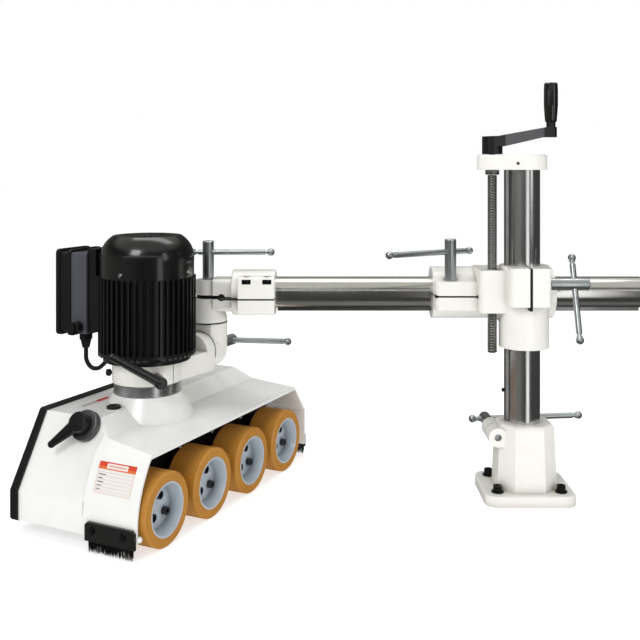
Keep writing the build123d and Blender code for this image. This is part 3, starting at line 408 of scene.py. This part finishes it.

# %% [markdown]
# Some parts of the real machine are too fine for the CAD model, such as bristles, labels and a screw
# thread, and the shade in the seams and slits is painted with dark pieces. Each is a mesh built from
# the same axes and boxes, and it rides on the CAD body that carries it, so that it moves with the
# joints. One function does that for every piece.

# %% how a piece joins the model
def piece(name, form, finish, body, stands_for=()):
    """Turns a bmesh into a piece that moves with a CAD body."""
    mesh = bpy.data.meshes.new(name)
    form.to_mesh(mesh)
    form.free()
    made = bpy.data.objects.new(name, mesh)
    bpy.context.scene.collection.objects.link(made)
    mesh.materials.append(finish.material)
    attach(made, body)
    if stands_for:
        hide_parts(*stands_for)
    return made


def lathe(centre, axis, profile, steps=72, carve=None, form=None):
    """A form turned about an axis through centre from (radius, height) points.

    With carve, a function of radius, height and angle gives the radius, as a thread needs."""
    form = form or bmesh.new()
    turn = Vector((0, 0, 1)).rotation_difference(Vector(axis))
    rows = []
    for radius, height in profile:
        row = []
        for step in range(steps):
            angle = tau * step / steps
            reach = carve(radius, height, angle) if carve else radius
            spot = Vector((reach * cos(angle), reach * sin(angle), height))
            row.append(form.verts.new(Vector(centre) + turn @ spot))
        rows.append(row)
    for low, high in zip(rows, rows[1:]):
        for step in range(steps):
            after = (step + 1) % steps
            form.faces.new((low[step], low[after], high[after], high[step]))
    form.faces.new(rows[-1])
    form.faces.new(rows[0][::-1])
    for face in form.faces:
        face.smooth = len(face.verts) == 4
    return form


def disc(radius, low, high, soft=0.3 * mm):
    """The profile of a plain disc with its two rims softened."""
    return [(radius - soft, low), (radius, low + soft), (radius, high - soft), (radius - soft, high)]


print("piece tools ready")

# %% [markdown]
# The raising screw has a trapezoidal thread of 5 mm pitch, the same that couples it to the bracket's
# travel, and left-handed, because a turn to the left raises the bracket. A thread is a turned bar
# whose radius also depends on the angle: adding the angle to the height moves the groove down by
# one pitch in each turn. A bump texture would leave the outline straight.

# %% thread of the raising screw
thread_pitch = 5 * mm
thread_depth = 1.1 * mm
flank_slope, crest_width = 5.2, 0.8
rows_in_pitch = 8
screw_radius, screw_end_radius, journal_radius = 9 * mm, 7.2 * mm, 6 * mm
collar_radius, collar_height, collar_in_cap = 13 * mm, 9 * mm, 13.7 * mm


def groove(radius, height, angle):
    """Flat crest, sloped flanks and flat root, one turn of it in each pitch."""
    share = (height / thread_pitch + angle / tau) % 1.0
    depth = min(max(flank_slope * abs(share - 0.5) - crest_width, 0.0), 1.0)
    return radius - thread_depth * depth


def screw_form():
    """The threaded bar, the thrust collar that the cap holds, and the journal for the crank."""
    low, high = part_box("lead_screw")
    axis_at = Vector(joints["lead_screw_spin"]["pos_m"])
    base = Vector((axis_at.x, axis_at.y, 0))
    collar_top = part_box("column_cap")[0][2] + collar_in_cap
    collar_low = collar_top - collar_height
    step = thread_pitch / rows_in_pitch
    rows = int((collar_low - low[2]) / step)
    profile = [(screw_radius, low[2] + 1 * mm + k * step) for k in range(rows - 1)]
    form = lathe(base, (0, 0, 1), [(screw_end_radius, low[2])] + profile, 40, groove)
    lathe(base, (0, 0, 1), disc(collar_radius, collar_low, collar_top), 56, form=form)
    journal = disc(journal_radius, collar_top - 1 * mm, high[2])
    return lathe(base, (0, 0, 1), journal, 40, form=form)


screw = piece("screw_thread", screw_form(), screw_steel, "raising_screw", ["lead_screw"])
print("thread faces", len(screw.data.polygons))

# %% [markdown]
# The seams of the swivels lie in shade, which shows as thin dark lines between the cream castings;
# without them the castings look like one lump. The shade is painted with a flat black ring in the gap
# that the CAD model leaves between two castings, and it rides on one of the two. A dark line painted on
# the castings would tear when the joint turns.

# %% painted shade in the swivel seams
knuckle_ring_radius, knuckle_ring_half = 37.5 * mm, 1.3 * mm
split_ring_radius, split_ring_half = 22.5 * mm, 3.4 * mm
tilt_ring_radius, tilt_ring_low, tilt_ring_high = 35.6 * mm, 27.5 * mm, 29.0 * mm
split_below_axis = 7
pivot = Vector(joints["knuckle_swivel"]["pos_m"])
tilt_axis_at = Vector(joints["head_tilt"]["pos_m"])
pivot_foot = (pivot.x, pivot.y, 0)
knuckle_ring = disc(knuckle_ring_radius, pivot.z - knuckle_ring_half, pivot.z + knuckle_ring_half)
knuckle_seam_shade = lathe(pivot_foot, (0, 0, 1), knuckle_ring)
piece("knuckle_seam_shade", knuckle_seam_shade, rubber_and_shade_black, "overarm")
arm_low, arm_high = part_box("overarm_tube")
arm_axis_z = (arm_low[2] + arm_high[2]) / 2
split_z = arm_axis_z - split_below_axis * mm
split_ring = disc(split_ring_radius, split_z - split_ring_half, split_z + split_ring_half)
split_seam_shade = lathe(pivot_foot, (0, 0, 1), split_ring)
piece("split_seam_shade", split_seam_shade, rubber_and_shade_black, "overarm")
tilt_seam_shade = lathe(tilt_axis_at, -along, disc(tilt_ring_radius, tilt_ring_low, tilt_ring_high))
piece("tilt_seam_shade", tilt_seam_shade, rubber_and_shade_black, "knuckle")
print("seam_shades at", round(pivot.z, 4), round(split_z, 4))

# %% [markdown]
# A split casting clamps because its slit can close, and a round hole at a slit's end stops it from
# cracking further. Slits and holes lie in shade, which is painted with black pieces: a box between two
# corners fills each slit, and a short turned disc sits in each hole, because only their dark faces
# show.

# %% painted shade in the slits and holes
def slit_shade_box(name, low, high, body):
    """A black box of painted shade between two corners in mm, x and y from the foot, z from the
    overarm's axis.
    """
    form = bmesh.new()
    bmesh.ops.create_cube(form, size=1.0)
    low, high = (Vector((x * mm, y * mm, arm_axis_z + z * mm)) for x, y, z in (low, high))
    for vert in form.verts:
        vert.co = (low + high) / 2 + vert.co * (high - low)
    return piece(name, form, rubber_and_shade_black, body)


bracket_low, bracket_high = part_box("cross_bracket")
clamp_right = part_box("arm_end_clamp")[1][0] / mm
relief = Vector((pivot.x + 29 * mm, pivot.y, split_z))
arm_slit_half, column_slit_half, end_slit_half, set_back = 2.3, 2.4, 1.3, 1
arm_slit_end, arm_slit_front = -80, 9
slit_top = (bracket_high[2] - arm_axis_z) / mm - set_back
slit_shades = [
    slit_shade_box("arm_slit_shade", (bracket_low[0] / mm + set_back, arm_slit_front, -arm_slit_half),
          (arm_slit_end, 22, arm_slit_half), "carriage"),
    slit_shade_box("column_slit_shade", (-column_slit_half, -63, -16),
          (column_slit_half, -40, slit_top), "carriage"),
    slit_shade_box("end_slit_shade", (relief.x / mm, 18, -split_below_axis - end_slit_half),
          (clamp_right - set_back, 30, -split_below_axis + end_slit_half), "overarm"),
]
hole_shade_length = 8 * mm
arm_hole_shade_at = Vector(((arm_slit_end - 2) * mm, arm_slit_front * mm, arm_axis_z))
hole_shades = []
# each is a short dark disc that paints the shade in a round hole
for name, place, radius, body in (
        ("relief_hole_shade", relief - Vector((0, 29 * mm, 0)), 6.8 * mm, "overarm"),
        ("arm_slit_hole_shade", arm_hole_shade_at, 4.4 * mm, "carriage")):
    plug = lathe(place, (0, 1, 0), disc(radius, 0, hole_shade_length), 32)
    hole_shades.append(piece(name, plug, rubber_and_shade_black, body))
print(len(slit_shades), "strips and", len(hole_shades), "hole_shades")

# %% [markdown]
# Two small things sit by the neck of the motor: a white washer under the oil plug, and a round knob
# that locks the ring. The knob is turned plastic on a short stem, so both pieces come from a lathe
# profile, the quickest way to a round thing whose radius changes along its axis.

# %% plug washer and ring knob
plug_low, plug_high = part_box("oil_plug")
plug_at = ((plug_low[0] + plug_high[0]) / 2, (plug_low[1] + plug_high[1]) / 2, 0)
washer_radius, washer_sunk, washer_rise, washer_edge = 17.5 * mm, 0.2 * mm, 1.4 * mm, 0.5 * mm
washer_ring = disc(washer_radius, plug_low[2] - washer_sunk, plug_low[2] + washer_rise, washer_edge)
washer = lathe(plug_at, (0, 0, 1), washer_ring)
piece("plug_washer", washer, white, "head")
ring_low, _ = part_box("ring_arm")
left = Vector((-1, 0, 0))
ring_to_knob, knob_rise = 62 * mm, 13 * mm
knob_at = motor_axis + left * ring_to_knob + up * (ring_low[2] + knob_rise)
knob_steps = [(3.2, 0), (3.2, 4), (6.0, 5), (6.6, 8), (6.0, 12), (4.0, 13.2)]
knob_profile = [(radius * mm, height * mm) for radius, height in knob_steps]
piece("ring_knob", lathe(knob_at, left, knob_profile, 40), plastic_black, "ring")
print("knob at", knob_at[:])

# %% [markdown]
# The chip brushes are rows of stiff black bristles held in a steel plate. Worn bristles differ in
# length and lean a little, which gives the ragged lower edge. A seeded random source plants them in
# the block that the CAD model keeps for them, and the far row mirrors the near one.

# %% bristles
random.seed(7)
bristle_rows = 5
bristles_in_row = 64
bristle_radius = 0.55 * mm
cover_length = 575
brush_low, brush_high, block_edge = -91, -5, 0.8
root_height, least_tip = 19, 0.7
front_row, rows_reach = 1.0, 3.2


def bristle(form, top, foot):
    """A tapered three-sided hair from its root to its tip."""
    ends = []
    for spot, radius in ((top, bristle_radius), (foot, 0.45 * bristle_radius)):
        ends.append([form.verts.new(spot + radius * Vector((cos(tau * k / 3), sin(tau * k / 3), 0)))
                     for k in range(3)])
    for k in range(3):
        after = (k + 1) % 3
        form.faces.new((ends[0][k], ends[0][after], ends[1][after], ends[1][k]))
    form.faces.new(ends[1])


def brush_form():
    """Both brushes in one mesh, with the roots in rows and the tips in uneven clumps."""
    form = bmesh.new()
    for end in range(2):
        for row in range(bristle_rows):
            for k in range(bristles_in_row):
                share = (k + random.uniform(-0.3, 0.3)) / (bristles_in_row - 1)
                n = brush_low + (brush_high - brush_low) * share
                depth = front_row + rows_reach * row / (bristle_rows - 1)
                clump = 1.3 * sin(0.9 * n) + 0.9 * sin(2.3 * n + 1)
                tip = max(least_tip, 2.6 + clump + random.uniform(-2.0, 3.2))
                lean = random.gauss(0, 0.9)
                t_root, t_tip = -depth, -depth - random.uniform(0, 0.25)
                if end:
                    t_root, t_tip = cover_length - t_root, cover_length - t_tip
                n_tip = min(max(n + lean, brush_low - block_edge), brush_high + block_edge)
                bristle(form, on_head(n, t_root, root_height), on_head(n_tip, t_tip, tip))
    return form


piece("brush_hair", brush_form(), rubber_and_shade_black, "head", ["brush_bristles"])
print("bristles", 2 * bristle_rows * bristles_in_row)

# %% [markdown]
# Two printed labels are stuck to the cover. A real one is a film that follows the sheet under it, so
# a grid of points is dropped on the cover's own surface and lifted a fifth of a millimetre. The
# print is made of plain bands and fields only, with no words, and is worked out from the position.

# %% labels on the cover
film_gap = 0.2 * mm
film_columns, film_rows = 36, 24
cast_from = 0.04
cover_mesh = nodes["head_cover"].data
cover_tree = BVHTree.FromPolygons([v.co for v in cover_mesh.vertices],
                                  [p.vertices for p in cover_mesh.polygons])


def film(start_of, way):
    """A sheet of quads whose points are found by casting from start_of(u, v) along way."""
    form = bmesh.new()
    grid = []
    for j in range(film_rows + 1):
        line = []
        for i in range(film_columns + 1):
            start = start_of(i / film_columns, j / film_rows)
            hit, normal, _, _ = cover_tree.ray_cast(start, way)
            outward = normal if normal.dot(way) < 0 else -normal
            line.append(form.verts.new(hit + outward * film_gap))
        grid.append(line)
    for j in range(film_rows):
        for i in range(film_columns):
            form.faces.new((grid[j][i], grid[j][i + 1], grid[j + 1][i + 1], grid[j + 1][i]))
    for face in form.faces:
        face.smooth = True
    return form


def label(name, corner, size, way, rise, fields):
    """Sticks a printed film on the cover: corner in head coordinates, size across and up in mm."""
    def start_of(u, v):
        spot = on_head(*corner) + across * (size[0] * u * mm) + rise * (size[1] * v * mm)
        return spot - way * cast_from

    finish = Finish(name + "_print", Metallic=0.0, Coat_Weight=0.5, Coat_Roughness=0.1)
    first = on_head(*corner)
    u = finish.distance(across, first.dot(across)) * (1 / (size[0] * mm))
    v = finish.distance(rise, first.dot(rise)) * (1 / (size[1] * mm))
    speckle = finish.noise(300.0, 3.0)
    colour = finish.blend(speckle * 0.5, (0.80, 0.79, 0.76), (0.74, 0.73, 0.70))
    for u_low, u_high, v_low, v_high, ink in fields:
        inside = (u > u_low) * (u < u_high) * (v > v_low) * (v < v_high)
        colour = finish.blend(inside, colour, ink)
    finish.set({
        "Base_Color": colour,
        "Roughness": 0.30 + 0.12 * speckle,
        "Normal": finish.relief(finish.noise(700.0, 2.0), 0.00002),
    })
    return piece(name, film(start_of, way), finish, "head")


# a field is its left, right, low and high edge as shares of the label, and its ink
red, orange, faint_red = (0.66, 0.055, 0.022), (0.72, 0.15, 0.03), (0.78, 0.50, 0.45)
pale, pale_red, grey_ink = (0.86, 0.80, 0.76), (0.70, 0.45, 0.40), (0.12, 0.11, 0.11)
line_pitch = 0.115
lines = [(0.06, 0.94, 0.10 + line_pitch * k, 0.115 + line_pitch * k, faint_red) for k in range(6)]
bars = [(0.06, 0.06 + share, 0.135 + line_pitch * k, 0.165 + line_pitch * k, grey_ink)
        for k, share in enumerate((0.10, 0.13, 0.16, 0.12, 0.19))]
frame_lines = [(0.02, 0.98, 0.02, 0.035, faint_red), (0.02, 0.035, 0.02, 0.76, faint_red),
               (0.965, 0.98, 0.02, 0.76, faint_red)]
band = [(0.0, 1.0, 0.77, 1.0, red), (0.0, 1.0, 0.77, 0.86, orange), (0.22, 0.78, 0.81, 0.96, pale),
        (0.26, 0.74, 0.85, 0.92, pale_red)]
rating = label("rating_label", (-92, 0, 92), (74, 45), along, up, frame_lines + lines + bars + band)
stripes = [(0.15, 0.85, 0.04 + 0.09 * k, 0.08 + 0.09 * k, grey_ink) for k in range(5)]
badge = [(0.1, 0.9, 0.52, 0.98, red)]
top = label("top_label", (-212, 112, 190), (13, 74), -up, along, stripes + badge)
print("label faces", len(rating.data.polygons), len(top.data.polygons))

# %% [markdown]
# A machine is best shown from the front with a long lens, which keeps its proportions. Tilting the
# camera down would make the column lean, so the camera stays level and its frame is shifted down
# instead, as a view camera does by sliding its lens. Everything stays in focus.

# %% camera
eye = Vector((-0.382, -1.687, 0.6156))
camera = bpy.data.objects.new("camera", bpy.data.cameras.new("camera"))
bpy.context.scene.collection.objects.link(camera)
camera.location = eye
camera.rotation_euler = (pi / 2, 0, 0)
camera.data.lens = 50.6
camera.data.sensor_width = 36.0
camera.data.shift_y = -0.242
camera.data.clip_start = 0.05
bpy.context.scene.camera = camera
print("camera at", eye[:])

# %% [markdown]
# Product studios use a sheet of white acrylic that is lit from below, so that the shadows on it stay
# faint. A little emission on a plain grey plane does the same. Polished metal does not see this
# floor, because it would wash out the dark bands that make a tube look round and bright.

# %% floor
floor_size = 40
floor_grey, floor_glow = (0.58, 0.58, 0.58), (0.62, 0.62, 0.62)


def floor_finish():
    """White acrylic that is lit from below, so that shadows on it stay faint."""
    finish = Finish("floor_acrylic", Specular_IOR_Level=0.0, Roughness=0.9, Emission_Strength=1.0)
    finish.set({"Base_Color": floor_grey, "Emission_Color": floor_glow})
    return finish.material


bpy.ops.mesh.primitive_plane_add(size=floor_size, location=(0, 0, 0))
floor = bpy.context.object
floor.name = "floor"
floor.data.materials.append(floor_finish())
floor.visible_glossy = False
print("floor", floor_size, "m wide")

# %% [markdown]
# Polished tubes are mirrors, so they look like the room they stand in. A real room could be modelled
# with walls and lamps, but a world whose brightness depends on direction needs no meshes: bright
# overhead, dark at the sides, a little light from the left and from straight below. Matte surfaces
# only need an even light, so they see a plain grey, and the eye sees white behind the object.

# %% room
matte_light = (0.66, 0.66, 0.66)
white_ground = (1.0, 1.0, 1.0)
blue_share = 0.93


class Room(Finish):
    """The studio round the object: a world whose brightness depends on direction."""

    def __init__(self, name):
        self.material = bpy.data.worlds.new(name)
        self.material.use_nodes = True
        self.tree = self.material.node_tree
        self.shader = self.tree.nodes["Background"]
        self.place = self.node("ShaderNodeTexCoord")["Generated"]


room = Room("studio")
seen = room.node("ShaderNodeLightPath")
rise, side, depth = (room.distance(way) for way in ((0, 0, 1), (1, 0, 0), (0, 1, 0)))
ceiling = room.ramp(rise, 0.50, 0.72)
pit = room.ramp(rise, -0.86, -0.97)
left_wall = room.ramp(side, -0.10, -0.75) * (1 - room.ramp(rise, 0.1, 0.4))
mirrored = 0.06 + 0.60 * ceiling + 0.16 * pit + 0.15 * left_wall
lit = room.blend(seen["Is Diffuse Ray"], white_ground, matte_light)
tints = {"Red": mirrored, "Green": mirrored, "Blue": mirrored * blue_share}
grey_room = room.node("ShaderNodeCombineColor", {}, tints)
room.set({"Color": room.blend(seen["Is Glossy Ray"], lit, grey_room["Color"]), "Strength": 1.0})
bpy.context.scene.world = room.material
bpy.context.scene.view_settings.view_transform = "Standard"
print("world", room.material.name)

# %% [markdown]
# Studios put white cards beside shiny things to draw a bright line down them. Here one card stands
# in front of the column and to its right, and a long one hangs in front of the overarm. They glow,
# and only mirror-like reflections see them, so they light nothing else and cast no shadow.

# %% cards
def card(name, place, width, height, glow):
    """A bright card that only polished surfaces show."""
    finish = Finish(name, Emission_Strength=glow, Roughness=1.0)
    finish.set({"Base_Color": (0, 0, 0), "Emission_Color": (1, 1, 1)})
    bpy.ops.mesh.primitive_plane_add(size=1, location=place, rotation=(pi / 2, 0, 0))
    made = bpy.context.object
    made.name = name
    made.scale = (width, height, 1)
    made.data.materials.append(finish.material)
    for sight in ("visible_camera", "visible_diffuse", "visible_transmission", "visible_shadow"):
        setattr(made, sight, False)
    return made


cards = [card("column_card", (0.36, -1.25, 0.10), 0.46, 1.3, 1.5),
         card("overarm_card", (-0.3, -1.45, 0.95), 4.0, 0.10, 1.8)]
print([made.name for made in cards])

# %% [markdown]
# Three soft panels shape the castings: the key from the upper left front, a weak fill from the
# right, and one overhead and behind that picks out the top edges. Large panels give soft shadows,
# where small lamps would give hard ones.

# %% light panels
def panel(name, place, aim, size, power):
    """A soft rectangular light that looks at a point."""
    light = bpy.data.objects.new(name, bpy.data.lights.new(name, "AREA"))
    light.data.shape = "RECTANGLE"
    light.data.size, light.data.size_y = size
    light.data.energy = power
    light.location = place
    light.rotation_euler = (Vector(aim) - Vector(place)).to_track_quat("-Z", "Y").to_euler()
    bpy.context.scene.collection.objects.link(light)
    return light


middle = (-0.35, 0, 0.3)
panels = [panel("key_panel", (-1.5, -2.2, 2.0), middle, (1.0, 1.0), 26),
          panel("fill_panel", (1.8, -1.8, 1.2), middle, (0.5, 1.6), 6),
          panel("top_panel", (-0.3, 0.5, 2.6), middle, (2.4, 0.8), 20)]
print({light.name: light.data.energy for light in panels})
